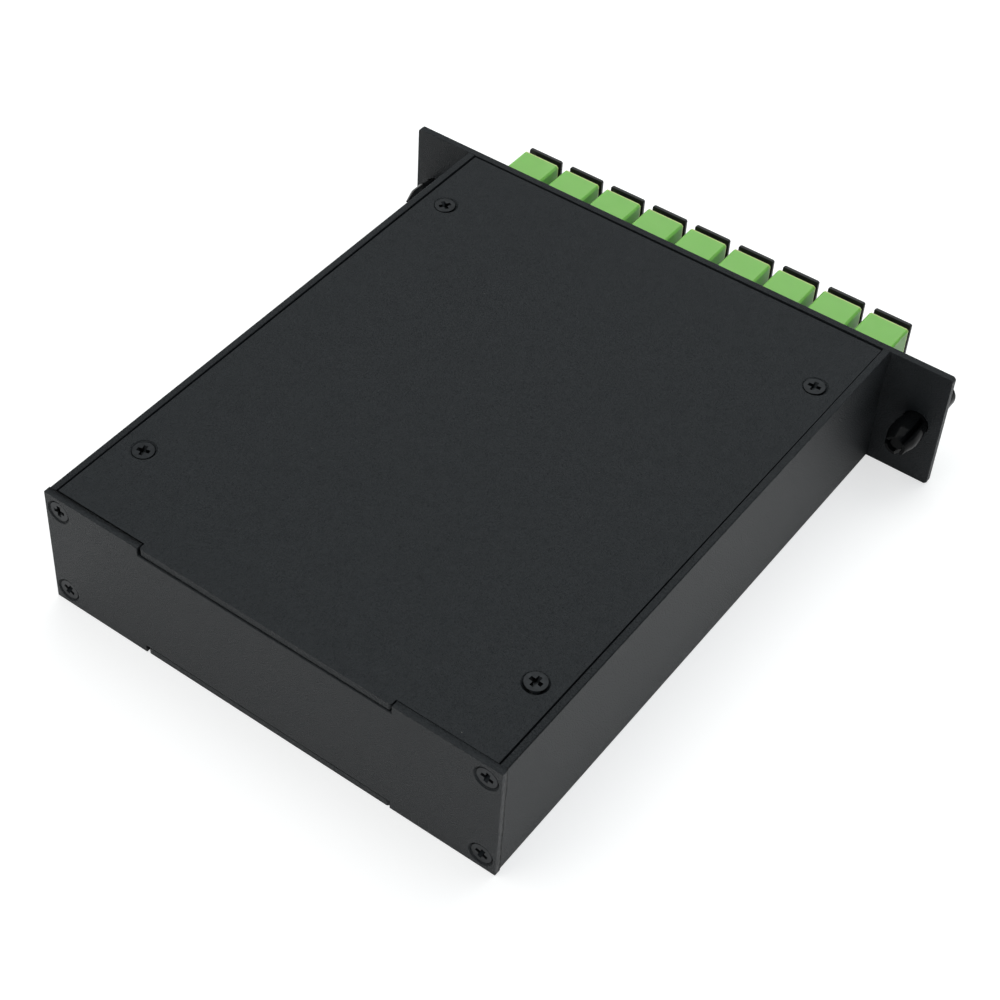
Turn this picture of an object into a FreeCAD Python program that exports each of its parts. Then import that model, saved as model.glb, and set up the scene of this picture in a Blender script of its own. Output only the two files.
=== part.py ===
"""Rack cassette that holds a one-to-eight planar lightwave splitter.

Frame: X across the front panel, +Y from the panel towards the rear, +Z up. The origin is the middle of
the plane that the panel's ears seat on, half way up the case. All lengths are in millimetres.
"""
import FreeCAD, Part
import math
import os

V = FreeCAD.Vector

# ---- case: overall sizes ----
BODY_WIDTH = 102.6
BODY_DEPTH = 130.5
HEIGHT = 28.5
EAR = 13.7
PANEL_SHEET = 1.5
REAR_SHEET = 1.5
COVER_SHEET = 1.5
WALL = 1.5
PANEL_CORNER = 0.5
REAR_OVERHANG = 0.15

# ---- side rails: ledges that carry the covers, with a groove for each row of screws ----
LEDGE_LIP = 1.45
GROOVE_PAD = 0.25
GROOVE_LEG = 1.15
LEDGE_FLOOR = 0.8
END_SCREW_FROM_EDGE = 3.57
GROOVE_SPARE = 0.3
RAIL_END_ERROR = 0.3

# ---- covers: clearances and the rear tab ----
COVER_SIDE_GAP = 0.35
COVER_FRONT_GAP = 0.65
COVER_REAR_GAP = 0.2
TAB_WIDTH = 56.6
TAB_INSET = 0.2
TAB_CORNER = 0.6
TAB_SIDE_GAP = 0.3
TAB_UNDER_GAP = 0.35

# ---- countersunk screws: the room that each one needs ----
THREAD_R = 1.25
THREAD_CLEARANCE = 0.05
COUNTERSINK_R = 2.65
COUNTERSINK_ANGLE = 82.0
COVER_SCREW_LENGTH = 5.0
COVER_SCREW_FRONT = 17.85
COVER_SCREW_REAR = 19.15

# ---- the row of adapters ----
PORT_NAMES = ["in"] + [f"out_{number}" for number in range(1, 9)]
ROW_MARGIN = 1.9
ADAPTER_SIDE_WALL = 0.75
ADAPTER_CAP_WALL = 1.8
ADAPTER_CORNER = 0.4
ADAPTER_FRONT = 15.45
ADAPTER_BEHIND = 11.75
CUTOUT_CLEARANCE = 0.15
STOP_DEPTH = 1.2
STOP_HEIGHT = 0.8
SOCKET_WIDTH = 7.5
SOCKET_HEIGHT = 9.1
KEYWAY_WIDTH = 2.3
KEYWAY_HEIGHT = 0.9
WEB = 2.0
SLEEVE_R = 2.1
SLEEVE_REACH = 6.0
LATCH_REACH = 8.5
LATCH_THICKNESS = 0.6
LATCH_HEIGHT = 3.0
LATCH_OFF_WALL = 0.05
LATCH_HOOK = 0.45

# ---- spring clips that hold the adapters in the panel ----
CLIP_SHEET = 0.3
CLIP_WIDTH = 5.0
CLIP_LENGTH = 5.0
CLIP_FROM_PANEL = 0.6
CLIP_TIP_GAP = 0.1
CLIP_RISE = 1.2

# ---- dust plugs ----
PLUG_HEAD_WIDTH = 8.5
PLUG_HEAD_HEIGHT = 12.3
PLUG_HEAD_SHEET = 0.75
PLUG_HEAD_CORNER = 0.3
PLUG_STANDOFF = 1.5
PLUG_FIT = 0.1
PLUG_END_GAP = 0.4

# ---- connectors on the inner side of the adapters ----
FERRULE_R = 1.25
FERRULE_FIT = 0.02
APC_ANGLE = 8.0
GRIP_FIT = 0.1
GRIP_END_GAP = 0.2
GRIP_OUTSIDE = 10.0
KEY_SHORT_OF_END = 2.6

# ---- panel fasteners ----
FASTENER_FROM_WALL = 8.35
GROMMET_NECK_R = 2.75
GROMMET_HOLE_CLEARANCE = 0.1
GROMMET_FLANGE_R = 4.4
GROMMET_FLANGE = 1.6
GROMMET_GRIP = 0.5
GROMMET_BULGE_R = 3.2
GROMMET_BULGE_RISE = 2.5
GROMMET_BULGE_LENGTH = 2.5
GROMMET_TIP_R = 2.2
GROMMET_TAPER_LENGTH = 3.0
GROMMET_SLOTS = 3
GROMMET_SLOT = 1.2
GROMMET_FIRST_SLOT = 5.0
PLUNGER_R = 1.5
PLUNGER_CLEARANCE = 0.1
PLUNGER_TIP_INSET = 0.6
KNOB_R = 3.2
KNOB_EASE = 0.8
KNOB_LENGTH = 8.8

# ---- splitter and fibre coil, on the bottom cover ----
MODULE_LENGTH = 60.0
MODULE_WIDTH = 7.0
MODULE_HEIGHT = 4.0
MODULE_FROM_REAR = 23.0
MODULE_CORNER = 0.8
COIL_WIDTH = 72.0
COIL_LENGTH = 46.0
COIL_BUNDLE = 5.0
COIL_HEIGHT = 3.6
COIL_FROM_MODULE = 32.0
COIL_CORNER = 14.0

# ---- places worked out from the sizes above ----
TOP = HEIGHT / 2
COVER_SEAT = TOP - COVER_SHEET
PANEL_FRONT = -PANEL_SHEET
REAR_PLATE_INNER = BODY_DEPTH - REAR_SHEET
WALL_OUTER = BODY_WIDTH / 2
WALL_INNER = WALL_OUTER - WALL
SCREW_HOLE_R = THREAD_R + THREAD_CLEARANCE
END_SCREW_X = WALL_INNER - GROOVE_PAD - SCREW_HOLE_R
END_SCREW_Z = TOP - END_SCREW_FROM_EDGE
COVER_SCREW_X = END_SCREW_X - GROOVE_LEG - 2 * SCREW_HOLE_R
COVER_SCREW_YS = (COVER_SCREW_FRONT, BODY_DEPTH - COVER_SCREW_REAR)
CORNERS = [(sx, sz) for sx in (-1, 1) for sz in (-1, 1)]
ADAPTER_WIDTH = SOCKET_WIDTH + 2 * ADAPTER_SIDE_WALL
ADAPTER_HEIGHT = SOCKET_HEIGHT + 2 * ADAPTER_CAP_WALL
LATCH_FROM_AXIS = SOCKET_WIDTH / 2 - LATCH_OFF_WALL - LATCH_THICKNESS - LATCH_HOOK
LAST_PORT_X = WALL_INNER - ROW_MARGIN - ADAPTER_WIDTH / 2
ADAPTER_PITCH = 2 * LAST_PORT_X / (len(PORT_NAMES) - 1)
PORT_XS = [i * ADAPTER_PITCH - LAST_PORT_X for i in range(len(PORT_NAMES))]
ADAPTER_FACE = PANEL_FRONT - ADAPTER_FRONT
ADAPTER_MIDDLE = (ADAPTER_FACE + ADAPTER_BEHIND) / 2
FASTENER_X = WALL_OUTER + FASTENER_FROM_WALL
GROMMET_TIP = GROMMET_GRIP + GROMMET_BULGE_RISE + GROMMET_BULGE_LENGTH + GROMMET_TAPER_LENGTH
PANEL_LENGTH = BODY_WIDTH + 2 * EAR
FLOOR = -COVER_SEAT
MODULE_Y = REAR_PLATE_INNER - MODULE_FROM_REAR
COIL_Y = MODULE_Y - COIL_FROM_MODULE


# ---- drawing helpers ----

def flat_face(steps, point):
    """Closed flat face. A step is a corner (u, v), or ((u, v), (u, v)): an arc's middle and its end."""
    ends = [step if isinstance(step[0], (int, float)) else step[1] for step in steps]
    edges = []
    last = ends[-1]
    for step, end in zip(steps, ends):
        if step is end:
            edges.append(Part.makeLine(point(*last), point(*end)))
        else:
            edges.append(Part.Arc(point(*last), point(*step[0]), point(*end)).toShape())
        last = end
    return Part.Face(Part.Wire(edges))


def eased_rectangle(width, height, ease):
    """Corners of a rectangle about the origin, each cut off at 45 degrees."""
    x, y = width / 2, height / 2
    return [
        (x, ease - y),
        (x, y - ease),
        (x - ease, y),
        (ease - x, y),
        (-x, y - ease),
        (-x, ease - y),
        (ease - x, -y),
        (x - ease, -y),
    ]


def prism_y(steps, y0, y1):
    """Profile drawn as (x, z), standing across the case from y0 to y1."""
    return flat_face(steps, lambda x, z: V(x, y0, z)).extrude(V(0, y1 - y0, 0))


def prism_z(steps, z0, z1):
    """Profile drawn as (x, y), lying flat from z0 to z1."""
    return flat_face(steps, lambda x, y: V(x, y, z0)).extrude(V(0, 0, z1 - z0))


def prism_x(steps, x0, x1):
    """Profile drawn as (y, z), from x0 to x1."""
    return flat_face(steps, lambda y, z: V(x0, y, z)).extrude(V(x1 - x0, 0, 0))


def box(x0, x1, y0, y1, z0, z1):
    return Part.makeBox(x1 - x0, y1 - y0, z1 - z0, V(x0, y0, z0))


def bar_y(radius, y0, y1, x=0.0, z=0.0):
    """Round bar along Y."""
    return Part.makeCylinder(radius, y1 - y0, V(x, y0, z), V(0, 1, 0))


def turned_y(steps, x=0.0):
    """Solid turned about the line through (x, y, 0) along Y, from a profile of (radius, y)."""
    face = flat_face(steps, lambda r, y: V(x + r, y, 0))
    return face.revolve(V(x, 0, 0), V(0, 1, 0), 360)


def mirrored_x(shape):
    return shape.mirror(V(0, 0, 0), V(1, 0, 0))


def mirrored_z(shape):
    return shape.mirror(V(0, 0, 0), V(0, 0, 1))


def row(shape):
    """The same shape at each port."""
    return [shape.translated(V(x, 0, 0)) for x in PORT_XS]


# ---- countersunk holes ----

def countersink(sheet):
    """Cutter about Z for a countersunk hole through a sheet whose face is at z = 0."""
    over = 1.0
    slope = math.tan(math.radians(COUNTERSINK_ANGLE / 2))
    steps = [
        (0, over),
        (COUNTERSINK_R + over * slope, over),
        (SCREW_HOLE_R, (SCREW_HOLE_R - COUNTERSINK_R) / slope),
        (SCREW_HOLE_R, -sheet - over),
        (0, -sheet - over),
    ]
    return flat_face(steps, lambda r, z: V(r, 0, z)).revolve(V(0, 0, 0), V(0, 0, 1), 360)


def countersinks(places, outward, sheet):
    """One countersink at each place, its mouth turned outward."""
    turn = FreeCAD.Rotation(V(0, 0, 1), outward)
    cutters = []
    for place in places:
        cutter = countersink(sheet)
        cutter.Placement = FreeCAD.Placement(place, turn)
        cutters.append(cutter)
    return cutters


def cover_screw_places():
    return [V(sx * COVER_SCREW_X, y, TOP) for sx in (-1, 1) for y in COVER_SCREW_YS]


def plate_screw_places(y):
    return [V(sx * END_SCREW_X, y, sz * END_SCREW_Z) for sx, sz in CORNERS]


# ---- case ----

def front_panel():
    """Flat panel with ears, one cut-out for each adapter and a hole for each fastener."""
    panel = prism_y(eased_rectangle(PANEL_LENGTH, HEIGHT, PANEL_CORNER), PANEL_FRONT, 0)
    half_width = ADAPTER_WIDTH / 2 + CUTOUT_CLEARANCE
    half_height = ADAPTER_HEIGHT / 2 + CUTOUT_CLEARANCE
    window = box(-half_width, half_width, PANEL_FRONT - 1, 1, -half_height, half_height)
    cutters = row(window)
    hole_r = GROMMET_NECK_R + GROMMET_HOLE_CLEARANCE
    cutters += [bar_y(hole_r, PANEL_FRONT - 1, 1, x) for x in (-FASTENER_X, FASTENER_X)]
    cutters += countersinks(plate_screw_places(PANEL_FRONT), V(0, -1, 0), PANEL_SHEET)
    return panel.cut(cutters)


def rear_panel():
    """Flat plate over the rails' ends, notched top and bottom for the covers' tabs."""
    half_width = WALL_OUTER + REAR_OVERHANG
    plate = box(-half_width, half_width, REAR_PLATE_INNER, BODY_DEPTH, -TOP, TOP)
    half_notch = TAB_WIDTH / 2 + TAB_SIDE_GAP
    notch_floor = COVER_SEAT - TAB_UNDER_GAP
    notch = box(-half_notch, half_notch, REAR_PLATE_INNER - 1, BODY_DEPTH + 1, notch_floor, TOP + 1)
    cutters = [notch, mirrored_z(notch)]
    cutters += countersinks(plate_screw_places(BODY_DEPTH), V(0, 1, 0), REAR_SHEET)
    return plate.cut(cutters)


def rail_profile():
    """Upper half of the extruded section: the wall, and a ledge with two grooves that the cover closes.

    The groove beside the wall takes the end plates' screws, and the deeper one takes the cover's.
    """
    ledge_tip = COVER_SCREW_X - SCREW_HOLE_R - LEDGE_LIP
    end_groove_side = END_SCREW_X - SCREW_HOLE_R
    end_groove_floor = END_SCREW_Z - SCREW_HOLE_R
    groove_floor = TOP - COVER_SCREW_LENGTH - GROOVE_SPARE
    ledge_under = groove_floor - LEDGE_FLOOR
    return [
        (WALL_OUTER, 0),
        (WALL_OUTER, TOP),
        (WALL_INNER, TOP),
        (WALL_INNER, COVER_SEAT),
        (END_SCREW_X + SCREW_HOLE_R, COVER_SEAT),
        (END_SCREW_X + SCREW_HOLE_R, end_groove_floor),
        (end_groove_side, end_groove_floor),
        (end_groove_side, COVER_SEAT),
        (COVER_SCREW_X + SCREW_HOLE_R, COVER_SEAT),
        (COVER_SCREW_X + SCREW_HOLE_R, groove_floor),
        (COVER_SCREW_X - SCREW_HOLE_R, groove_floor),
        (COVER_SCREW_X - SCREW_HOLE_R, COVER_SEAT),
        (ledge_tip, COVER_SEAT),
        (ledge_tip, ledge_under),
        (WALL_INNER, ledge_under),
        (WALL_INNER, 0),
    ]


def side_rail():
    """Extruded side wall on the +X side, alike above and below."""
    upper = prism_y(rail_profile(), 0, REAR_PLATE_INNER)
    return upper.fuse(mirrored_z(upper)).removeSplitter()


def side_rail_right():
    """The rail on the -X side: its rear end was sawn a little out of square, short at the bottom."""
    rail = mirrored_x(side_rail())
    steps = [
        (REAR_PLATE_INNER, TOP),
        (REAR_PLATE_INNER - RAIL_END_ERROR, -TOP),
        (REAR_PLATE_INNER + 1, -TOP),
        (REAR_PLATE_INNER + 1, TOP),
    ]
    return rail.cut(prism_x(steps, -BODY_WIDTH, 0))


def cover():
    """Top cover: a flat plate between the walls, with a tab that lies in the rear plate's notch."""
    half = WALL_INNER - COVER_SIDE_GAP
    rear = REAR_PLATE_INNER - COVER_REAR_GAP
    half_tab = TAB_WIDTH / 2
    tab_end = BODY_DEPTH - TAB_INSET
    near = TAB_CORNER * (1 - math.sqrt(0.5))
    steps = [
        (-half, COVER_FRONT_GAP),
        (half, COVER_FRONT_GAP),
        (half, rear),
        (half_tab, rear),
        (half_tab, tab_end - TAB_CORNER),
        ((half_tab - near, tab_end - near), (half_tab - TAB_CORNER, tab_end)),
        (TAB_CORNER - half_tab, tab_end),
        ((near - half_tab, tab_end - near), (-half_tab, tab_end - TAB_CORNER)),
        (-half_tab, rear),
        (-half, rear),
    ]
    plate = prism_z(steps, COVER_SEAT, TOP)
    return plate.cut(countersinks(cover_screw_places(), V(0, 0, 1), COVER_SHEET))


# ---- adapters ----

def adapter_socket(face, web_side, step):
    """Cutter for one socket with its keyway, from the adapter's face to the web."""
    low, high = sorted((face + step, web_side))
    room = box(-SOCKET_WIDTH / 2, SOCKET_WIDTH / 2, low, high, -SOCKET_HEIGHT / 2, SOCKET_HEIGHT / 2)
    key_top = SOCKET_HEIGHT / 2 + KEYWAY_HEIGHT
    key = box(-KEYWAY_WIDTH / 2, KEYWAY_WIDTH / 2, low, high, 0, key_top)
    return room.fuse(key)


def latch_arm(direction):
    """Latch arm on the +X side of the axis; its hook looks at the axis. direction is -1 to the front."""
    root = ADAPTER_MIDDLE + direction * WEB / 2
    tip = ADAPTER_MIDDLE + direction * LATCH_REACH
    inner = LATCH_FROM_AXIS + LATCH_HOOK
    outer = inner + LATCH_THICKNESS
    steps = [
        (inner, root),
        (outer, root),
        (outer, tip),
        (LATCH_FROM_AXIS + LATCH_HOOK / 2, tip),
        (LATCH_FROM_AXIS, tip - direction * LATCH_HOOK),
        (LATCH_FROM_AXIS, tip - direction * 2 * LATCH_HOOK),
        (inner, tip - direction * 3 * LATCH_HOOK),
    ]
    return prism_z(steps, -LATCH_HEIGHT / 2, LATCH_HEIGHT / 2)


def adapter():
    """Flangeless adapter: a socket each side of a web that carries the sleeve and four latch arms."""
    outline = eased_rectangle(ADAPTER_WIDTH, ADAPTER_HEIGHT, ADAPTER_CORNER)
    body = prism_y(outline, ADAPTER_FACE, ADAPTER_BEHIND)
    stop_half = ADAPTER_HEIGHT / 2 + STOP_HEIGHT
    stop_width = ADAPTER_WIDTH / 2 - ADAPTER_CORNER
    stop = box(-stop_width, stop_width, PANEL_FRONT - STOP_DEPTH, PANEL_FRONT, -stop_half, stop_half)
    body = body.fuse(stop)
    front_room = adapter_socket(ADAPTER_FACE, ADAPTER_MIDDLE - WEB / 2, -1)
    rear_room = adapter_socket(ADAPTER_BEHIND, ADAPTER_MIDDLE + WEB / 2, 1)
    body = body.cut([front_room, rear_room])
    sleeve = bar_y(SLEEVE_R, ADAPTER_MIDDLE - SLEEVE_REACH, ADAPTER_MIDDLE)
    arms = [latch_arm(direction) for direction in (-1, 1)]
    arms += [mirrored_x(arm) for arm in arms]
    body = body.fuse([sleeve] + arms)
    bore = bar_y(FERRULE_R + FERRULE_FIT, ADAPTER_FACE, ADAPTER_BEHIND)
    return body.cut(bore).removeSplitter()


def adapter_clip():
    """Folded spring clip round three sides of the adapter; its two wings catch behind the cut-out."""
    inner = ADAPTER_HEIGHT / 2
    outer = inner + CLIP_SHEET
    front = CLIP_FROM_PANEL
    rear = front + CLIP_LENGTH
    tip_z = outer + CLIP_RISE
    steps = [
        (front, inner),
        (rear, inner),
        (rear, outer),
        (CLIP_TIP_GAP + CLIP_SHEET, tip_z),
        (CLIP_TIP_GAP, tip_z),
        (CLIP_TIP_GAP, tip_z - CLIP_SHEET),
        (rear - 3 * CLIP_SHEET, outer),
        (front, outer),
    ]
    wing = prism_x(steps, -CLIP_WIDTH / 2, CLIP_WIDTH / 2)
    side = ADAPTER_WIDTH / 2
    bridge = box(-side - CLIP_SHEET, -CLIP_WIDTH / 2, front, rear, inner, outer)
    strap = box(-side - CLIP_SHEET, -side, front, rear, -outer, outer)
    upper = wing.fuse(bridge)
    return upper.fuse([mirrored_z(upper), strap]).removeSplitter()


def dust_plug():
    """Dust plug: a thin head held off the adapter's face, and a block that fills the socket's mouth."""
    head_back = ADAPTER_FACE - PLUG_STANDOFF
    block_end = ADAPTER_MIDDLE - LATCH_REACH - PLUG_END_GAP
    outline = eased_rectangle(PLUG_HEAD_WIDTH, PLUG_HEAD_HEIGHT, PLUG_HEAD_CORNER)
    head = prism_y(outline, head_back - PLUG_HEAD_SHEET, head_back)
    half_width = SOCKET_WIDTH / 2 - PLUG_FIT
    half_height = SOCKET_HEIGHT / 2 - PLUG_FIT
    block = box(-half_width, half_width, head_back, block_end, -half_height, half_height)
    return head.fuse(block)


# ---- inner connectors ----

def ferrule():
    """Ferrule inside the adapter's sleeve, drawn eight-sided, its end polished at an angle."""
    across = 2 * FERRULE_R * math.cos(math.pi / 8)
    outline = eased_rectangle(across, across, across * (1 - math.sqrt(0.5)))
    bar = prism_y(outline, ADAPTER_MIDDLE - FERRULE_R, ADAPTER_MIDDLE + WEB)
    polish = box(-FERRULE_R, FERRULE_R, -2 * FERRULE_R, 0, -2 * FERRULE_R, 2 * FERRULE_R)
    polish.rotate(V(0, 0, 0), V(1, 0, 0), APC_ANGLE)
    polish.translate(V(0, ADAPTER_MIDDLE, 0))
    return bar.cut(polish)


def connector():
    """Push-pull plug in the adapter's inner socket: grip with its key, room for the latches, and ferrule."""
    low = ADAPTER_MIDDLE + WEB / 2 + GRIP_END_GAP
    high = ADAPTER_BEHIND + GRIP_OUTSIDE
    half_width = SOCKET_WIDTH / 2 - GRIP_FIT
    half_height = SOCKET_HEIGHT / 2 - GRIP_FIT
    grip = box(-half_width, half_width, low, high, -half_height, half_height)
    key_half = KEYWAY_WIDTH / 2 - GRIP_FIT
    key_top = SOCKET_HEIGHT / 2 + KEYWAY_HEIGHT - GRIP_FIT
    key = box(-key_half, key_half, low, high - KEY_SHORT_OF_END, 0, key_top)
    latch_inner = LATCH_FROM_AXIS - GRIP_FIT
    latch_end = ADAPTER_MIDDLE + LATCH_REACH + GRIP_END_GAP
    latch_half = LATCH_HEIGHT / 2 + GRIP_FIT
    latch_room = box(latch_inner, SOCKET_WIDTH, low - 1, latch_end, -latch_half, latch_half)
    grip = grip.fuse(key).cut([latch_room, mirrored_x(latch_room)])
    return grip.fuse(ferrule()).removeSplitter()


# ---- panel fasteners ----

def panel_grommet(x):
    """Nylon grommet: flange before the panel, neck through it and three sprung fingers that swell behind."""
    flange_front = PANEL_FRONT - GROMMET_FLANGE
    bulge = GROMMET_GRIP + GROMMET_BULGE_RISE
    taper = bulge + GROMMET_BULGE_LENGTH
    bore = PLUNGER_R + PLUNGER_CLEARANCE
    steps = [
        (bore, flange_front),
        (GROMMET_FLANGE_R, flange_front),
        (GROMMET_FLANGE_R, PANEL_FRONT),
        (GROMMET_NECK_R, PANEL_FRONT),
        (GROMMET_NECK_R, GROMMET_GRIP),
        (GROMMET_BULGE_R, bulge),
        (GROMMET_BULGE_R, taper),
        (GROMMET_TIP_R, GROMMET_TIP),
        (bore, GROMMET_TIP),
    ]
    grommet = turned_y(steps, x)
    reach = 2 * GROMMET_BULGE_R
    half = GROMMET_SLOT / 2
    slot = box(x, x + reach, half, GROMMET_TIP + 1, -half, half)
    slots = []
    for i in range(GROMMET_SLOTS):
        angle = GROMMET_FIRST_SLOT + i * 360 / GROMMET_SLOTS
        slots.append(slot.copy().rotate(V(x, 0, 0), V(0, -1, 0), angle))
    return grommet.cut(slots)


def plunger(x):
    """Plunger through the grommet: pushed in, its rod holds the fingers apart."""
    tip = GROMMET_TIP - PLUNGER_TIP_INSET
    seat = PANEL_FRONT - GROMMET_FLANGE - PLUNGER_CLEARANCE
    end = seat - KNOB_LENGTH
    steps = [
        (0, tip),
        (PLUNGER_R, tip),
        (PLUNGER_R, seat),
        (KNOB_R, seat),
        (KNOB_R, end + KNOB_EASE),
        (KNOB_R - KNOB_EASE, end),
        (0, end),
    ]
    return turned_y(steps, x)


# ---- splitter and fibre ----

def splitter_module():
    """Steel tube that holds the planar splitter chip, lying across the bottom cover."""
    steps = eased_rectangle(MODULE_WIDTH, MODULE_HEIGHT, MODULE_CORNER)
    face = flat_face(steps, lambda y, z: V(-MODULE_LENGTH / 2, MODULE_Y + y, FLOOR + MODULE_HEIGHT / 2 + z))
    return face.extrude(V(MODULE_LENGTH, 0, 0))


def fibre_coil():
    """The bundled turns of spare fibre, as one ring on the bottom cover."""
    outer = eased_rectangle(COIL_WIDTH, COIL_LENGTH, COIL_CORNER)
    inner_corner = COIL_CORNER - COIL_BUNDLE * (2 - math.sqrt(2))
    inner = eased_rectangle(COIL_WIDTH - 2 * COIL_BUNDLE, COIL_LENGTH - 2 * COIL_BUNDLE, inner_corner)
    ring = prism_z(outer, FLOOR, FLOOR + COIL_HEIGHT).cut(prism_z(inner, FLOOR - 1, FLOOR + COIL_HEIGHT + 1))
    return ring.translated(V(0, COIL_Y, 0))


# ---- every node of the assembly ----

def assembly():
    top_cover = cover()
    nodes = {
        "front_panel": front_panel(),
        "rear_panel": rear_panel(),
        "side_rail_left": side_rail(),
        "side_rail_right": side_rail_right(),
        "top_cover": top_cover,
        "bottom_cover": mirrored_z(top_cover),
        "panel_grommets": Part.makeCompound([panel_grommet(x) for x in (-FASTENER_X, FASTENER_X)]),
        "plunger_left": plunger(FASTENER_X),
        "plunger_right": plunger(-FASTENER_X),
        "splitter_module": splitter_module(),
        "fibre_coil": fibre_coil(),
    }
    for kind, shape in (
        ("adapter", adapter()),
        ("adapter_clip", adapter_clip()),
        ("dust_plug", dust_plug()),
        ("connector", connector()),
    ):
        for name, placed in zip(PORT_NAMES, row(shape)):
            nodes[f"{kind}_{name}"] = placed
    return nodes


os.makedirs("parts", exist_ok=True)
for node, shape in assembly().items():
    shape.exportStep(f"parts/{node}.step")
    state = "valid" if shape.isValid() else "NOT VALID"
    print(node, state, len(shape.Solids), "solids", round(shape.Volume, 1), "mm3")
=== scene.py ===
# %% [markdown]
# # A splitter cassette, dressed for its picture
# The cassette is a flat black metal box behind a wider panel. Its solids are already built and come in as a
# fixed frame, so this lesson is about looks: rounding the edges that a press and a paint shop round, modelling
# the small screws, and giving each piece the finish of its real material.
# Lengths are written in millimetres and turned to metres at the last moment, which keeps them readable.

# %% Load the frame
import bmesh
import bpy
import math
from mathutils import Matrix, Vector


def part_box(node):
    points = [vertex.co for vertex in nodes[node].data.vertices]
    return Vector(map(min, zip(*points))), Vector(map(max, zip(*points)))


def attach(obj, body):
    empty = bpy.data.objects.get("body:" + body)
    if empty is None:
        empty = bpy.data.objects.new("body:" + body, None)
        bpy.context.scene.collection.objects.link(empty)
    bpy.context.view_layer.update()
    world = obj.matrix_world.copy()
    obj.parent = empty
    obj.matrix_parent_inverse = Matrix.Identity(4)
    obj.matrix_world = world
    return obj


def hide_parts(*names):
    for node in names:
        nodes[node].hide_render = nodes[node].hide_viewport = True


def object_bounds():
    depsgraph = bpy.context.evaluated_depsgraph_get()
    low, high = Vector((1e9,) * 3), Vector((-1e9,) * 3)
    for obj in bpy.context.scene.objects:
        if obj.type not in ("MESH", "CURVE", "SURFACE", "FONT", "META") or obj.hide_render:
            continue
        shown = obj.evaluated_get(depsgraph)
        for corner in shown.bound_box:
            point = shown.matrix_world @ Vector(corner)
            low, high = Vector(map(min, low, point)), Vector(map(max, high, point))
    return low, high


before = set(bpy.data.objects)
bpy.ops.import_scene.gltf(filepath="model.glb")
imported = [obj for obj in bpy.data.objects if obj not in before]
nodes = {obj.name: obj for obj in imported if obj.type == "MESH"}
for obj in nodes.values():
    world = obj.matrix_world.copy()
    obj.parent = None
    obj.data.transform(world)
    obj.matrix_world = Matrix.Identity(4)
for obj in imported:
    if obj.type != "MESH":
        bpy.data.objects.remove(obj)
cad_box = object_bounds()
MM = 0.001
print(len(nodes), "nodes, box", cad_box)

# %% [markdown]
# ## The camera
# A product picture like this is taken from behind and above, with a longish lens so that the box's edges stay
# nearly parallel. A camera could be aimed with a tracking constraint, but three angles are easier to adjust one
# at a time: the azimuth it looks along, how far it looks down, and a small roll. The lens shift slides the
# picture without turning the camera, as a cropped print does.

# %% Camera
CAMERA_PLACE = (-163.81, 311.46, 298.55)
CAMERA_AZIMUTH = 216.54
CAMERA_DOWN = 44.758
CAMERA_ROLL = 1.44
SENSOR = 36.0
LENS = 78.084
SHIFT = (0.0967, -0.0509)
NEAREST = 10


def add_camera():
    """Adds the camera at its place, turned by its three angles, and makes it the scene's own."""
    data = bpy.data.cameras.new("camera")
    data.sensor_width = SENSOR
    data.lens = LENS
    data.shift_x, data.shift_y = SHIFT
    data.clip_start = NEAREST * MM
    camera = bpy.data.objects.new("camera", data)
    bpy.context.scene.collection.objects.link(camera)
    turn = Matrix.Rotation(math.radians(CAMERA_AZIMUTH), 4, "Z")
    tilt = Matrix.Rotation(math.radians(90 - CAMERA_DOWN), 4, "X")
    roll = Matrix.Rotation(math.radians(CAMERA_ROLL), 4, "Z")
    camera.matrix_world = Matrix.Translation(Vector(CAMERA_PLACE) * MM) @ turn @ tilt @ roll
    bpy.context.scene.camera = camera
    return camera


camera = add_camera()
print("camera at", tuple(camera.matrix_world.translation))

# %% [markdown]
# ## Colours and nodes
# Colours are picked as hex values on a screen, in sRGB, but shaders count light, which is linear. One function
# turns one into the other. A second adds a node with its settings and links, so that each material below reads
# as a short list of what it is made of.

# %% Colour and node helpers


def linear(hex_colour):
    """sRGB hex, such as "#8cc376", as linear red, green, blue and alpha."""
    channels = [int(hex_colour[i:i + 2], 16) / 255 for i in (1, 3, 5)]
    light = [c / 12.92 if c <= 0.04045 else ((c + 0.055) / 1.055) ** 2.4 for c in channels]
    return (*light, 1.0)


def add_node(tree, kind, links=None, **settings):
    """Adds a node. A setting is one of its properties, or else an input's value; links feed its inputs."""
    node = tree.nodes.new(kind)
    for name, value in settings.items():
        if hasattr(node, name):
            setattr(node, name, value)
        else:
            node.inputs[name.replace("_", " ")].default_value = value
    for name, source in (links or {}).items():
        tree.links.new(source, node.inputs[name])
    return node


def new_material(name, **surface):
    """A material with one Principled shader, set from sockets' names, and its tree and shader."""
    material = bpy.data.materials.new(name)
    material.use_nodes = True
    tree = material.node_tree
    shader = tree.nodes["Principled BSDF"]
    for socket, value in surface.items():
        shader.inputs[socket.replace("_", " ")].default_value = value
    return material, tree, shader


print("mid grey is", linear("#808080")[0])

# %% [markdown]
# ## Black powder coat
# The case is aluminium under a fine black powder coat: dry powder is sprayed on and baked, and melts to a skin
# with a faint orange-peel grain. To the eye it is nearly black and half matt, with grain about 0.3 mm wide that
# breaks up its reflections. A noise gives the grain, and as most of its values lie between 0.3 and 0.7, that span
# is stretched over the coat's range of roughness. A single noise would look like clean plastic, so a second,
# wider one mottles the colour, and a few grains of dust lie on top: a Voronoi pattern has one point in each
# cell, and the cell's random colour gives the grain its size, down to none. All are drawn on Object coordinates,
# so the grain is the same size on every sheet. Its relief is deeper than the few hundredths of a millimetre that
# a real coat has, because grain this fine is averaged away in a picture. Its specular level is under the usual
# 0.5, because a grain's own dips swallow part of the light that it would mirror.

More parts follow.
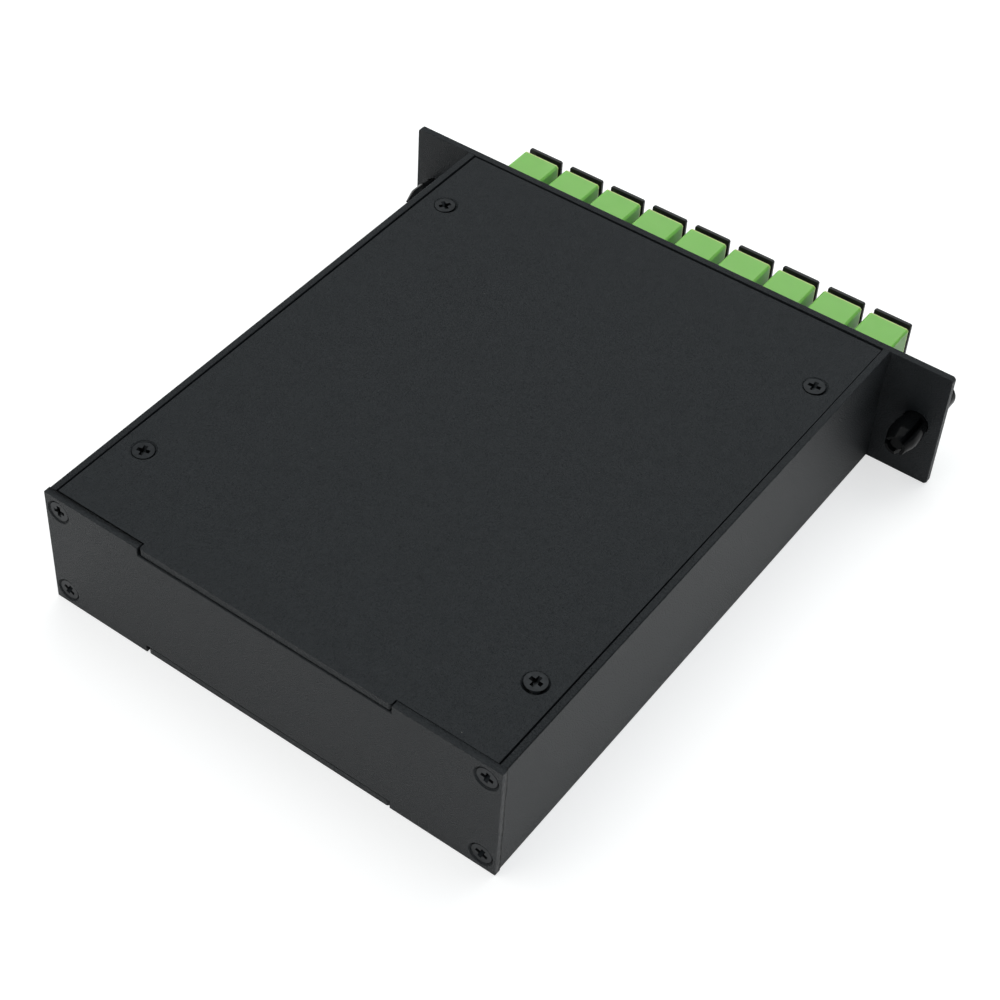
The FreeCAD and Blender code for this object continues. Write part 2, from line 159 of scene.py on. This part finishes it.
# %% Powder coat
GRAIN = 0.3
GRAIN_VALUES = (0.3, 0.7)
COAT_ROUGHNESS = (0.34, 0.6)
COAT_RELIEF = 0.33
MOTTLE = 2.5
DUST_SPACING = 4.0
DUST_RADIUS = 0.11
DUST_LEFT_OUT = 0.3


def powder_coat():
    material, tree, shader = new_material("black_powder_coat_on_aluminium", IOR=1.5, Specular_IOR_Level=0.225)
    place = add_node(tree, "ShaderNodeTexCoord").outputs["Object"]
    grain = add_node(tree, "ShaderNodeTexNoise", {"Vector": place}, Scale=1 / (GRAIN * MM), Detail=2.0)
    mottle = add_node(tree, "ShaderNodeTexNoise", {"Vector": place}, Scale=1 / (MOTTLE * MM), Detail=3.0)
    tone = add_node(
        tree, "ShaderNodeMix", {"Factor": grain.outputs["Fac"]}, data_type="RGBA",
        A=linear("#121618"), B=linear("#36393c"),
    )
    uneven = add_node(
        tree, "ShaderNodeMix", {"Factor": mottle.outputs["Fac"], "A": tone.outputs["Result"]}, data_type="RGBA",
        blend_type="MULTIPLY", B=linear("#dcdee0"),
    )
    cells = add_node(tree, "ShaderNodeTexVoronoi", {"Vector": place}, Scale=1 / (DUST_SPACING * MM))
    size = add_node(
        tree, "ShaderNodeMapRange", {"Value": cells.outputs["Color"]},
        From_Min=DUST_LEFT_OUT, To_Max=DUST_RADIUS / DUST_SPACING,
    )
    speck = add_node(
        tree, "ShaderNodeMath", {0: cells.outputs["Distance"], 1: size.outputs["Result"]}, operation="LESS_THAN"
    )
    dusted = add_node(
        tree, "ShaderNodeMix", {"Factor": speck.outputs[0], "A": uneven.outputs["Result"]}, data_type="RGBA",
        B=linear("#74726d"),
    )
    tree.links.new(dusted.outputs["Result"], shader.inputs["Base Color"])
    rough = add_node(
        tree, "ShaderNodeMapRange", {"Value": grain.outputs["Fac"]},
        From_Min=GRAIN_VALUES[0], From_Max=GRAIN_VALUES[1], To_Min=COAT_ROUGHNESS[0], To_Max=COAT_ROUGHNESS[1],
    )
    tree.links.new(rough.outputs["Result"], shader.inputs["Roughness"])
    bump = add_node(
        tree, "ShaderNodeBump", {"Height": grain.outputs["Fac"]}, Strength=1.0, Distance=COAT_RELIEF * MM
    )
    tree.links.new(bump.outputs["Normal"], shader.inputs["Normal"])
    return material


coat = powder_coat()
print(coat.name, "has grain of", GRAIN, "mm")

# %% [markdown]
# ## Rounded edges
# A punched and painted sheet has no knife edge: paint rounds it to about 0.1 mm, and that thin band is what
# catches the light and tells the eye where one sheet ends. The frame's meshes have sharp edges and may not be
# changed. A Bevel node in the shader could fake the band, but it wouldn't be in the mesh, so each sheet is
# copied, its triangles are merged back into whole faces, and a Bevel modifier rounds what is sharp. Normals
# weighted by area keep the big faces flat. The short edges round a hole, up to a facet's length, may take a
# smaller share of the radius, so that the facets keep their shape.

# %% Faces and edges of a copy
MERGE_DISTANCE = 0.002
FLAT_ANGLE = 0.5
SHARP_ANGLE = 28
HOLE_FACET = 0.62


def merged_copy(node):
    """A bmesh of the node with its doubles merged and its flat faces made whole."""
    copy = bmesh.new()
    copy.from_mesh(nodes[node].data)
    bmesh.ops.remove_doubles(copy, verts=copy.verts, dist=MERGE_DISTANCE * MM)
    bmesh.ops.dissolve_limit(copy, angle_limit=math.radians(FLAT_ANGLE), verts=copy.verts, edges=copy.edges)
    return copy


def even_share(first, last):
    """The whole radius, wherever an edge runs."""
    return 1.0


def mark_edges(shape, small_share, share):
    """Marks sharp edges for the bevel: long ones by their own share, the short ones of holes by a small one."""
    weight = shape.edges.layers.float.new("bevel_weight_edge")
    for edge in shape.edges:
        if edge.calc_face_angle(0) > math.radians(SHARP_ANGLE):
            first, last = (vert.co / MM for vert in edge.verts)
            edge[weight] = share(first, last) if edge.calc_length() > HOLE_FACET * MM else small_share


whole = merged_copy("top_cover")
print("top cover:", len(nodes["top_cover"].data.polygons), "triangles merge into", len(whole.faces), "faces")
whole.free()

# %% Pieces that stand in for nodes
LARGEST_FACE_ONLY = 100


def add_piece(name, shape, material, body, smooth=True):
    """Makes an object of a bmesh, gives it its material and lets it ride on a body."""
    mesh = bpy.data.meshes.new(name)
    for face in shape.faces:
        face.smooth = smooth
    shape.to_mesh(mesh)
    shape.free()
    mesh.materials.append(material)
    piece = bpy.data.objects.new(name, mesh)
    bpy.context.scene.collection.objects.link(piece)
    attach(piece, body)
    return piece


def round_edges(piece, radius, segments):
    """Rounds the marked edges to a radius and keeps the large faces flat."""
    bevel = piece.modifiers.new("rounded_edges", "BEVEL")
    bevel.width = radius * MM
    bevel.segments = segments
    bevel.limit_method = "WEIGHT"
    flat = piece.modifiers.new("flat_faces", "WEIGHTED_NORMAL")
    flat.weight = LARGEST_FACE_ONLY


def stand_in(
    node, name, material, radius, segments=2, body="cassette", small_share=1.0, share=even_share, lie=None
):
    """A copy of a node with rounded edges, shown in the node's place and moved a little where it lies askew."""
    shape = merged_copy(node)
    if lie is not None:
        bmesh.ops.transform(shape, matrix=lie, verts=shape.verts)
    mark_edges(shape, small_share, share)
    piece = add_piece(name, shape, material, body)
    round_edges(piece, radius, segments)
    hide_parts(node)
    return piece


# %% [markdown]
# ## The case
# The case is a front panel, two covers, two extruded side rails and a rear plate. The rails are extruded with a
# small radius, so the long outer corners are rounder than the cut edges, and the rails' sawn ends stay sharp
# where they meet the rear plate. One Bevel modifier has one width, so a share of it is given edge by edge. The
# screws hold the top cover a little askew between its rails: its copy is turned about the middle of its rear
# edge, so that its tab stays in its notch.

# %% The case
SHEET_EDGE = 0.12
SHEET_HOLE_SHARE = 0.3
CORNER_EDGE = 0.24
CORNER_HOLE_SHARE = 0.1
ON_FACE = 0.01
LONG_EDGE = 9
SEAM_FRONT = 2.2
SEAM_REAR = 1.4
COVER_SHIFT = 0.25
WALL_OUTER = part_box("side_rail_left")[1][0] / MM
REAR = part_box("rear_panel")[1][1] / MM


def case_share(first, last):
    """The whole radius on the long outer corners, and none where the rails' sawn ends meet the rear plate."""
    on_wall = min(abs(first.x), abs(last.x)) > WALL_OUTER - ON_FACE and abs(first.y - last.y) > LONG_EDGE
    on_plate = min(first.y, last.y) > REAR - ON_FACE and abs(first.x - last.x) > LONG_EDGE
    at_seam = REAR - SEAM_FRONT < min(first.y, last.y) and max(first.y, last.y) < REAR - SEAM_REAR
    if on_wall or on_plate:
        return 1.0
    return 0.0 if at_seam else SHEET_EDGE / CORNER_EDGE


cover_low, cover_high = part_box("top_cover")
pivot = Vector((0, cover_high[1], 0))
cover_turn = Matrix.Rotation(-COVER_SHIFT * MM / (cover_high[1] - cover_low[1]), 4, "Z")
askew = {"top_cover": Matrix.Translation(pivot) @ cover_turn @ Matrix.Translation(-pivot)}
for node in ("front_panel", "top_cover", "bottom_cover"):
    sheet = stand_in(
        node, f"{node}_coated", coat, SHEET_EDGE, small_share=SHEET_HOLE_SHARE, lie=askew.get(node)
    )
    print(sheet.name, len(sheet.data.polygons), "faces")
for node in ("rear_panel", "side_rail_left", "side_rail_right"):
    sheet = stand_in(
        node, f"{node}_coated", coat, CORNER_EDGE, 3, small_share=CORNER_HOLE_SHARE, share=case_share
    )
    print(sheet.name, len(sheet.data.polygons), "faces")

# %% [markdown]
# ## Screws
# Sixteen black countersunk screws close the case. Each is turned, so its outline is spun about its axis. A head
# is narrower than its countersink, and the thin ring of shade between them is what shows most from a distance.
# The thread could be a true helix, but it is hidden in its hole, so a stack of rings does.

# %% One screw
HEAD_R = 2.2
HEAD_RIM = 0.12
HEAD_EDGE = 0.07
HEAD_ANGLE = 82
SHANK_R = 1.25
CORE_R = 1.0
PITCH = 0.45
ROUND_STEPS = 48


def screw_outline(length):
    """Radius and height down a screw from the top of its head, at z = 0."""
    outline = [(0, 0), (HEAD_R - HEAD_EDGE, 0), (HEAD_R, -HEAD_EDGE), (HEAD_R, -HEAD_RIM)]
    neck = -HEAD_RIM - (HEAD_R - SHANK_R) / math.tan(math.radians(HEAD_ANGLE / 2))
    outline.append((SHANK_R, neck))
    height = neck - PITCH / 2
    while height > PITCH - length:
        outline += [(CORE_R, height), (SHANK_R, height - PITCH / 2)]
        height -= PITCH
    outline += [(CORE_R, height), (CORE_R, -length), (0, -length)]
    return outline


def spun(outline):
    """A bmesh turned about Z from (radius, height) points, closed where the outline meets the axis."""
    shape = bmesh.new()
    points = [shape.verts.new((r * MM, 0, z * MM)) for r, z in outline]
    edges = [shape.edges.new(pair) for pair in zip(points, points[1:])]
    bmesh.ops.spin(
        shape, geom=points + edges, cent=(0, 0, 0), axis=(0, 0, 1), angle=math.tau, steps=ROUND_STEPS,
        use_merge=True,
    )
    bmesh.ops.remove_doubles(shape, verts=shape.verts, dist=MERGE_DISTANCE * MM)
    bmesh.ops.recalc_face_normals(shape, faces=shape.faces)
    return shape


print("a head is", 2 * HEAD_R, "mm wide")

# %% [markdown]
# ## Cross recess
# The recess for the screwdriver is struck into the head by a punch. Insetting the head's top face would give a
# round hollow and no cross, so a cutter of the punch's shape is subtracted by a Boolean modifier.

# %% Cross recess
RECESS_SPAN = 2.65
RECESS_ARM = 0.85
RECESS_DEPTH = 0.9
RECESS_TAPER = (0.4, 0.6, 1)
PUNCH_ABOVE = 0.02
COVER_SCREW = 4.7
PLATE_SCREW = 8.0


def cross_punch():
    """The punch for the recess: two crossed bars, narrower towards their tips, that start above the head."""
    punch = bmesh.new()
    for angle in (0, math.pi / 2):
        made = bmesh.ops.create_cube(punch, size=1.0)["verts"]
        bmesh.ops.translate(punch, vec=(0, 0, -0.5), verts=made)
        bmesh.ops.scale(punch, vec=(RECESS_SPAN * MM, RECESS_ARM * MM, RECESS_DEPTH * MM), verts=made)
        tips = [vert for vert in made if vert.co.z < -RECESS_DEPTH * MM / 2]
        bmesh.ops.scale(punch, vec=RECESS_TAPER, verts=tips)
        tops = [vert for vert in made if vert not in tips]
        bmesh.ops.translate(punch, vec=(0, 0, PUNCH_ABOVE * MM), verts=tops)
        bmesh.ops.rotate(punch, matrix=Matrix.Rotation(angle, 3, "Z"), verts=made)
    return punch


def cut(body_shape, tool_shape):
    """The first bmesh less the second, by a Boolean modifier that is applied at once."""
    objects = []
    for label, shape in (("cut_body", body_shape), ("cut_tool", tool_shape)):
        mesh = bpy.data.meshes.new(label)
        shape.to_mesh(mesh)
        shape.free()
        objects.append(bpy.data.objects.new(label, mesh))
        bpy.context.scene.collection.objects.link(objects[-1])
    body, tool = objects
    boolean = body.modifiers.new("cut", "BOOLEAN")
    boolean.operation = "DIFFERENCE"
    boolean.solver = "EXACT"
    boolean.use_self = True
    boolean.object = tool
    bpy.context.view_layer.update()
    result = bmesh.new()
    result.from_mesh(body.evaluated_get(bpy.context.evaluated_depsgraph_get()).to_mesh())
    for item in objects:
        bpy.data.objects.remove(item, do_unlink=True)
    return result


cover_screw = cut(spun(screw_outline(COVER_SCREW)), cross_punch())
plate_screw = cut(spun(screw_outline(PLATE_SCREW)), cross_punch())
print("a screw has", len(cover_screw.faces), "faces")

# %% [markdown]
# ## Blackened steel
# The screws are steel with a thin black finish, from a dip that turns the surface to black oxide. It keeps a
# metal's tinted gloss, only darker and softer than the bare metal, so it is a metal with a dark colour rather
# than a paint, and a noise just under a millimetre wide gives the oxide its slight patches.

# %% Blackened steel
OXIDE_PATCH = 0.9
OXIDE_RELIEF = 0.02


def blackened_steel():
    material, tree, shader = new_material("blackened_steel", Metallic=1.0, Roughness=0.42)
    place = add_node(tree, "ShaderNodeTexCoord").outputs["Object"]
    patches = add_node(tree, "ShaderNodeTexNoise", {"Vector": place}, Scale=1 / (OXIDE_PATCH * MM), Detail=3.0)
    tone = add_node(
        tree, "ShaderNodeMix", {"Factor": patches.outputs["Fac"]}, data_type="RGBA",
        A=linear("#232425"), B=linear("#37393b"),
    )
    tree.links.new(tone.outputs["Result"], shader.inputs["Base Color"])
    bump = add_node(
        tree, "ShaderNodeBump", {"Height": patches.outputs["Fac"]}, Strength=0.2, Distance=OXIDE_RELIEF * MM
    )
    tree.links.new(bump.outputs["Normal"], shader.inputs["Normal"])
    return material


black_steel = blackened_steel()
print(black_steel.name, "has patches of", OXIDE_PATCH, "mm")

# %% [markdown]
# ## Screws in their holes
# Four screws hold each cover, and four each end plate. They could be children of one screw, but a piece's place
# belongs in its mesh, so each is a copy that is moved into its hole. Cross recesses point every way on a real
# product, and heads are seated by hand, so each screw that shows has its own turn and depth, and one even
# stands a little proud. Those below and in front follow them with a turn added.

# %% Place the screws
COVER_SCREW_X = 44.5
COVER_SCREW_FRONT = 17.85
COVER_SCREW_REAR = 19.15
PLATE_SCREW_X = 48.25
PLATE_SCREW_FROM_EDGE = 3.57
SEATED = 0.22
SEATED_BELOW = 0.2
TURN_BELOW = 31
TURN_IN_FRONT = 47
SIDES = {"left": 1, "right": -1}
TURN_AND_DEPTH = {
    ("left", "front"): (57, 0.1), ("right", "front"): (5, 0.16),
    ("left", "rear"): (17, 0.14), ("right", "rear"): (-4, -0.28),
    ("left", "upper"): (2, SEATED), ("left", "lower"): (62, SEATED),
    ("right", "upper"): (-12, SEATED), ("right", "lower"): (-20, SEATED),
}
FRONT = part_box("front_panel")[0][1] / MM
TOP = cover_high[2] / MM
PLATE_SCREW_Z = TOP - PLATE_SCREW_FROM_EDGE
SCREW_YS = {"front": COVER_SCREW_FRONT, "rear": REAR - COVER_SCREW_REAR}


def place_screw(name, shape, place, outward, turn, depth):
    """Copies a screw, its head turned by some degrees and sunk to a depth below the face at a place."""
    copy = shape.copy()
    facing = Vector(outward).to_track_quat("Z", "Y").to_matrix().to_4x4()
    spin = Matrix.Rotation(math.radians(turn), 4, "Z")
    sink = Matrix.Translation((0, 0, -depth * MM))
    seat = Matrix.Translation(Vector(place) * MM)
    bmesh.ops.transform(copy, matrix=seat @ facing @ spin @ sink, verts=copy.verts)
    piece = add_piece(name, copy, black_steel, "cassette", smooth=False)
    return piece


for (side, end), (turn, depth) in TURN_AND_DEPTH.items():
    if end in SCREW_YS:
        x, y = SIDES[side] * COVER_SCREW_X, SCREW_YS[end]
        place_screw(f"screw_top_{side}_{end}", cover_screw, (x, y, TOP), (0, 0, 1), turn, depth)
        name, turn = f"screw_bottom_{side}_{end}", turn + TURN_BELOW
        place_screw(name, cover_screw, (x, y, -TOP), (0, 0, -1), turn, SEATED_BELOW)
    else:
        x, z = SIDES[side] * PLATE_SCREW_X, PLATE_SCREW_Z * (1 if end == "upper" else -1)
        place_screw(f"screw_rear_{side}_{end}", plate_screw, (x, REAR, z), (0, 1, 0), turn, depth)
        name, turn = f"screw_front_{side}_{end}", turn + TURN_IN_FRONT
        place_screw(name, plate_screw, (x, FRONT, z), (0, -1, 0), turn, SEATED)
print("screws at", COVER_SCREW_X, SCREW_YS, PLATE_SCREW_X, PLATE_SCREW_Z)

# %% [markdown]
# ## Green adapters
# The adapters are injection moulded from unfilled polyester. Their green tells a technician that the plug's end
# is polished at an angle. The mould leaves a fine satin skin, and the thin front end lets light through, so it
# looks yellower than the body: that light is painted, as a paler, yellower colour near the front face.
# Subsurface scattering gives the rest its glow, where a plain diffuse green would look like paint.

# %% Adapter plastics
# Painted light: the adapters' front faces get a paler band this deep, for light that the thin end lets through.
GLOW_PAINT_DEPTH = 0.45
FLOW_MARKS = 5.0
SATIN = 0.25
SATIN_RELIEF = 0.02
LIGHT_DEPTH = 2.0
LIGHT_DEPTH_BY_COLOUR = (0.6, 1.0, 0.4)


def green_polyester(name, dark, light, roughness, glow, glow_face_y=None):
    """Green plastic between two tones. Given the Y of a front face, a painted glow near it, for light let through
    the thin end, makes the colour paler and yellower.
    """
    material, tree, shader = new_material(
        name, Roughness=roughness, IOR=1.53, Specular_IOR_Level=0.4, Subsurface_Weight=glow,
        Subsurface_Radius=LIGHT_DEPTH_BY_COLOUR, Subsurface_Scale=LIGHT_DEPTH * MM,
    )
    shader.subsurface_method = "RANDOM_WALK"
    place = add_node(tree, "ShaderNodeTexCoord").outputs["Object"]
    flow = add_node(tree, "ShaderNodeTexNoise", {"Vector": place}, Scale=1 / (FLOW_MARKS * MM), Detail=2.0)
    tone = add_node(
        tree, "ShaderNodeMix", {"Factor": flow.outputs["Fac"]}, data_type="RGBA", A=linear(dark), B=linear(light)
    )
    colour = tone.outputs["Result"]
    if glow_face_y is not None:
        # Painted light: towards the front face the green becomes paler and yellower, for the light that the thin
        # end lets through.
        along = add_node(tree, "ShaderNodeSeparateXYZ", {0: place}).outputs["Y"]
        near = add_node(
            tree, "ShaderNodeMapRange", {"Value": along}, From_Min=glow_face_y + GLOW_PAINT_DEPTH * MM, From_Max=glow_face_y
        )
        painted_glow = add_node(
            tree, "ShaderNodeMix", {"Factor": near.outputs["Result"], "A": colour}, data_type="RGBA",
            B=linear("#cde08b"),
        )
        colour = painted_glow.outputs["Result"]
    tree.links.new(colour, shader.inputs["Base Color"])
    skin = add_node(tree, "ShaderNodeTexNoise", {"Vector": place}, Scale=1 / (SATIN * MM), Detail=1.0)
    bump = add_node(
        tree, "ShaderNodeBump", {"Height": skin.outputs["Fac"]}, Strength=0.12, Distance=SATIN_RELIEF * MM
    )
    tree.links.new(bump.outputs["Normal"], shader.inputs["Normal"])
    return material


adapter_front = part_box("adapter_in")[0][1]
adapter_green = green_polyester(
    "moulded_green_polyester", "#82c35c", "#8cca68", roughness=0.42, glow=0.6, glow_face_y=adapter_front
)
print(adapter_green.name, "is pale over", GLOW_PAINT_DEPTH, "mm")

# %% [markdown]
# ## Nine adapters
# The nine mouldings are alike, and each has its own sockets, sleeve and latch arms in the frame. Corners out of
# a mould are rounder than those of sheet, so the same rounded copy serves with a larger radius.

# %% Adapters
PORTS = ["in"] + [f"out_{number}" for number in range(1, 9)]
ADAPTER_EDGE = 0.2

for port in PORTS:
    node = f"adapter_{port}"
    adapter = stand_in(node, f"{node}_moulded", adapter_green, ADAPTER_EDGE, 3)
print("adapters:", len(PORTS), "with", len(adapter.data.polygons), "faces each")

# %% [markdown]
# ## Dust plugs
# Each adapter is closed by a plug of soft black polyethylene. It is a thin moulding with a dull, slightly waxy
# skin, so its highlights are wide and weak. It could be modelled anew, but its solid already has the thin head
# and the block in the socket and only needs soft edges, so it is a rounded copy too. Each plug rides on a body
# of its own, because it pulls out on its own.

# %% Dust plugs
PLUG_EDGE = 0.1
SKIN_RELIEF = 0.03


def black_plastic(name, dark, light, roughness, grain, gloss):
    """Black plastic between two tones, with a skin whose grain is some millimetres wide."""
    material, tree, shader = new_material(name, Roughness=roughness, IOR=1.5, Specular_IOR_Level=gloss)
    place = add_node(tree, "ShaderNodeTexCoord").outputs["Object"]
    skin = add_node(tree, "ShaderNodeTexNoise", {"Vector": place}, Scale=1 / (grain * MM), Detail=2.0)
    tone = add_node(
        tree, "ShaderNodeMix", {"Factor": skin.outputs["Fac"]}, data_type="RGBA", A=linear(dark), B=linear(light)
    )
    tree.links.new(tone.outputs["Result"], shader.inputs["Base Color"])
    bump = add_node(
        tree, "ShaderNodeBump", {"Height": skin.outputs["Fac"]}, Strength=0.15, Distance=SKIN_RELIEF * MM
    )
    tree.links.new(bump.outputs["Normal"], shader.inputs["Normal"])
    return material


polyethylene = black_plastic(
    "soft_black_polyethylene", "#191b1b", "#242727", roughness=0.5, grain=0.6, gloss=0.4
)
for port in PORTS:
    node = f"dust_plug_{port}"
    stand_in(node, f"{node}_soft", polyethylene, PLUG_EDGE, body=f"{node}_body")
print("dust plugs ride on bodies such as", f"{node}_body")

# %% [markdown]
# ## Panel fasteners
# The two fasteners are black nylon: a split grommet that snaps into the rack, and a plunger that is pushed in to
# spread it. Nylon moulds with a smoother skin than the dust plugs, so it takes the same recipe with a lower
# roughness. Its gloss is weak, and what shows is small sharp highlights on nearly black round shapes. Each
# plunger rides on its own body, and its knob is rounded for the finger that pulls it.

# %% Nylon fasteners
GROMMET_EDGE = 0.12
KNOB_EDGE = 0.3

nylon = black_plastic("moulded_black_nylon", "#0c0d0e", "#131415", roughness=0.2, grain=0.8, gloss=0.06)
stand_in("panel_grommets", "panel_grommets_moulded", nylon, GROMMET_EDGE)
for side in SIDES:
    node = f"plunger_{side}"
    plunger = stand_in(node, f"{node}_moulded", nylon, KNOB_EDGE, 3, body=f"{node}_body")
print("fasteners:", plunger.name)

# %% [markdown]
# ## Inside the case
# The spring clips, the inner connectors, the splitter's steel tube and the coil of fibre are closed in by the
# covers. Their shapes stay as the frame has them, and each still gets the finish of what it is made of: steel
# with rolling lines, drawn by stretching a fine noise along the case, and a white fibre coating whose turns are
# bands one fibre wide, with painted shade in the grooves between them. Modelling every turn would cost
# thousands of faces for a coil that nobody sees.

# %% Finishes for the inner pieces
ROLLING_LINES = 0.2
ROLLING_STRETCH = (1.0, 0.05, 1.0)
ROLLING_RELIEF = 0.01
FIBRE = 0.9
FIBRE_RELIEF = 0.2
BANDS_AT_SCALE_1 = 20 / math.tau


def spring_steel():
    material, tree, shader = new_material("rolled_stainless_steel", Metallic=1.0, Roughness=0.32)
    place = add_node(tree, "ShaderNodeTexCoord").outputs["Object"]
    along = add_node(tree, "ShaderNodeMapping", {"Vector": place}, Scale=ROLLING_STRETCH)
    lines = add_node(
        tree, "ShaderNodeTexNoise", {"Vector": along.outputs["Vector"]}, Scale=1 / (ROLLING_LINES * MM)
    )
    tone = add_node(
        tree, "ShaderNodeMix", {"Factor": lines.outputs["Fac"]}, data_type="RGBA",
        A=linear("#a9aaab"), B=linear("#c9cacb"),
    )
    tree.links.new(tone.outputs["Result"], shader.inputs["Base Color"])
    bump = add_node(
        tree, "ShaderNodeBump", {"Height": lines.outputs["Fac"]}, Strength=0.1, Distance=ROLLING_RELIEF * MM
    )
    tree.links.new(bump.outputs["Normal"], shader.inputs["Normal"])
    return material


def fibre_coating():
    material, tree, shader = new_material("white_fibre_coating", Roughness=0.45, IOR=1.5)
    place = add_node(tree, "ShaderNodeTexCoord").outputs["Object"]
    turn_bands_with_painted_shade = add_node(
        tree, "ShaderNodeTexWave", {"Vector": place}, bands_direction="Z",
        Scale=1 / (BANDS_AT_SCALE_1 * FIBRE * MM),
    )
    # Painted shade: the darker tone lies in the grooves between turns of the white fibre.
    tone = add_node(
        tree, "ShaderNodeMix", {"Factor": turn_bands_with_painted_shade.outputs["Fac"]}, data_type="RGBA",
        A=linear("#c9c8c2"), B=linear("#efeee8"),
    )
    tree.links.new(tone.outputs["Result"], shader.inputs["Base Color"])
    bump = add_node(
        tree, "ShaderNodeBump", {"Height": turn_bands_with_painted_shade.outputs["Fac"]}, Strength=0.6, Distance=FIBRE_RELIEF * MM
    )
    tree.links.new(bump.outputs["Normal"], shader.inputs["Normal"])
    return material


def give(node, material):
    """Puts one material in every slot of a node that stays as it is."""
    for slot in nodes[node].material_slots:
        slot.material = material


steel = spring_steel()
connector_green = green_polyester(
    "connector_green_polyester", "#5fae55", "#6bb963", roughness=0.38, glow=0.2
)
for port in PORTS:
    give(f"adapter_clip_{port}", steel)
    give(f"connector_{port}", connector_green)
give("splitter_module", steel)
give("fibre_coil", fibre_coating())
print("inner pieces:", 2 * len(PORTS) + 2, "finished")

# %% [markdown]
# ## White floor
# The cassette lies on plain white paper. A floor that only reflects never quite reaches white under soft light,
# and more light would wash out the black. So for camera rays and in mirror images a little light of its own is
# added, and the soft shadow under the box stays. In mirror images that light fades where the floor is hemmed in,
# as in the corner behind an ear, which an Ambient Occlusion node finds.

# %% Floor
FLOOR_SIZE = 6000.0
GLOW = 0.63
SHADE_REACH = 45.0
SHADE_SAMPLES = 4
OPENNESS = (0.1, 0.5)


def white_floor():
    material = bpy.data.materials.new("white_paper_floor")
    material.use_nodes = True
    tree = material.node_tree
    tree.nodes.remove(tree.nodes["Principled BSDF"])
    out = tree.nodes["Material Output"]
    paper = add_node(tree, "ShaderNodeBsdfDiffuse", Color=linear("#cccccc"))
    path = add_node(tree, "ShaderNodeLightPath").outputs
    sky_seen = add_node(
        tree, "ShaderNodeAmbientOcclusion", samples=SHADE_SAMPLES, Distance=SHADE_REACH * MM
    )
    shade = add_node(
        tree, "ShaderNodeMapRange", {"Value": sky_seen.outputs["AO"]},
        From_Min=OPENNESS[0], From_Max=OPENNESS[1],
    )
    lit = add_node(
        tree, "ShaderNodeMath", {0: path["Is Camera Ray"], 1: shade.outputs["Result"]}, operation="MAXIMUM"
    )
    power = add_node(tree, "ShaderNodeMath", {0: lit.outputs[0]}, operation="MULTIPLY")
    power.inputs[1].default_value = GLOW
    glow = add_node(tree, "ShaderNodeEmission", {"Strength": power.outputs[0]}, Color=linear("#ffffff"))
    both = add_node(tree, "ShaderNodeAddShader", {0: paper.outputs[0], 1: glow.outputs[0]})
    mirrored = add_node(tree, "ShaderNodeMath", {0: path["Is Glossy Ray"], 1: path["Is Transmission Ray"]})
    seen = add_node(
        tree, "ShaderNodeMath", {0: path["Is Camera Ray"], 1: mirrored.outputs[0]}, operation="MAXIMUM"
    )
    pick = add_node(tree, "ShaderNodeMixShader", {0: seen.outputs[0], 1: paper.outputs[0], 2: both.outputs[0]})
    tree.links.new(pick.outputs[0], out.inputs["Surface"])
    return material


floor_shape = bmesh.new()
bmesh.ops.create_grid(floor_shape, x_segments=1, y_segments=1, size=FLOOR_SIZE / 2 * MM)
bmesh.ops.translate(floor_shape, vec=(0, 0, cad_box[0][2]), verts=floor_shape.verts)
floor_mesh = bpy.data.meshes.new("floor")
floor_shape.to_mesh(floor_mesh)
floor_shape.free()
floor_mesh.materials.append(white_floor())
floor = bpy.data.objects.new("floor", floor_mesh)
bpy.context.scene.collection.objects.link(floor)
print("floor at", cad_box[0][2])

# %% [markdown]
# ## Soft light
# Black pieces are shown by what they reflect, so large dim sources do more for them than small strong ones. One
# large soft box in front, a smaller one at the side and a weak fill light the cassette at a plain level. An even
# sky would do for the rest, but one that darkens towards the horizon, as a studio's walls do, gives the top a
# calm, dark gloss.

# %% Lights
AIM = (0, 60, 0)
SKY = 0.55
HORIZON = (0.25, 0.7)


def add_soft_box(name, place, width, height, power, colour):
    """Adds a rectangular lamp at a place, aimed at the middle of the cassette."""
    data = bpy.data.lights.new(name, "AREA")
    data.shape = "RECTANGLE"
    data.size = width * MM
    data.size_y = height * MM
    data.energy = power
    data.color = linear(colour)[:3]
    lamp = bpy.data.objects.new(name, data)
    lamp.location = Vector(place) * MM
    lamp.rotation_euler = (Vector(AIM) - Vector(place)).to_track_quat("-Z", "Y").to_euler()
    bpy.context.scene.collection.objects.link(lamp)
    return lamp


def studio_world():
    world = bpy.data.worlds.new("studio")
    bpy.context.scene.world = world
    world.use_nodes = True
    tree = world.node_tree
    direction = add_node(tree, "ShaderNodeTexCoord").outputs["Generated"]
    height = add_node(tree, "ShaderNodeSeparateXYZ", {0: direction}).outputs["Z"]
    rise = add_node(tree, "ShaderNodeMapRange", {0: height}, From_Min=HORIZON[0], From_Max=HORIZON[1])
    shade = add_node(
        tree, "ShaderNodeMix", {"Factor": rise.outputs["Result"]}, data_type="RGBA",
        A=linear("#5c5c5a"), B=linear("#dce8f0"),
    )
    sky = tree.nodes["Background"]
    sky.inputs["Strength"].default_value = SKY
    tree.links.new(shade.outputs["Result"], sky.inputs["Color"])


lamps = [
    add_soft_box("key_soft_box", (150, -650, 1150), width=1500, height=1500, power=9.6, colour="#fffefb"),
    add_soft_box("side_soft_box", (500, 500, 1000), width=900, height=900, power=4.0, colour="#fffaf2"),
    add_soft_box("fill_soft_box", (-900, 300, 500), width=900, height=700, power=0.6, colour="#fffaf2"),
]
studio_world()
bpy.context.scene.view_settings.view_transform = "Standard"
print("lights:", [lamp.name for lamp in lamps])
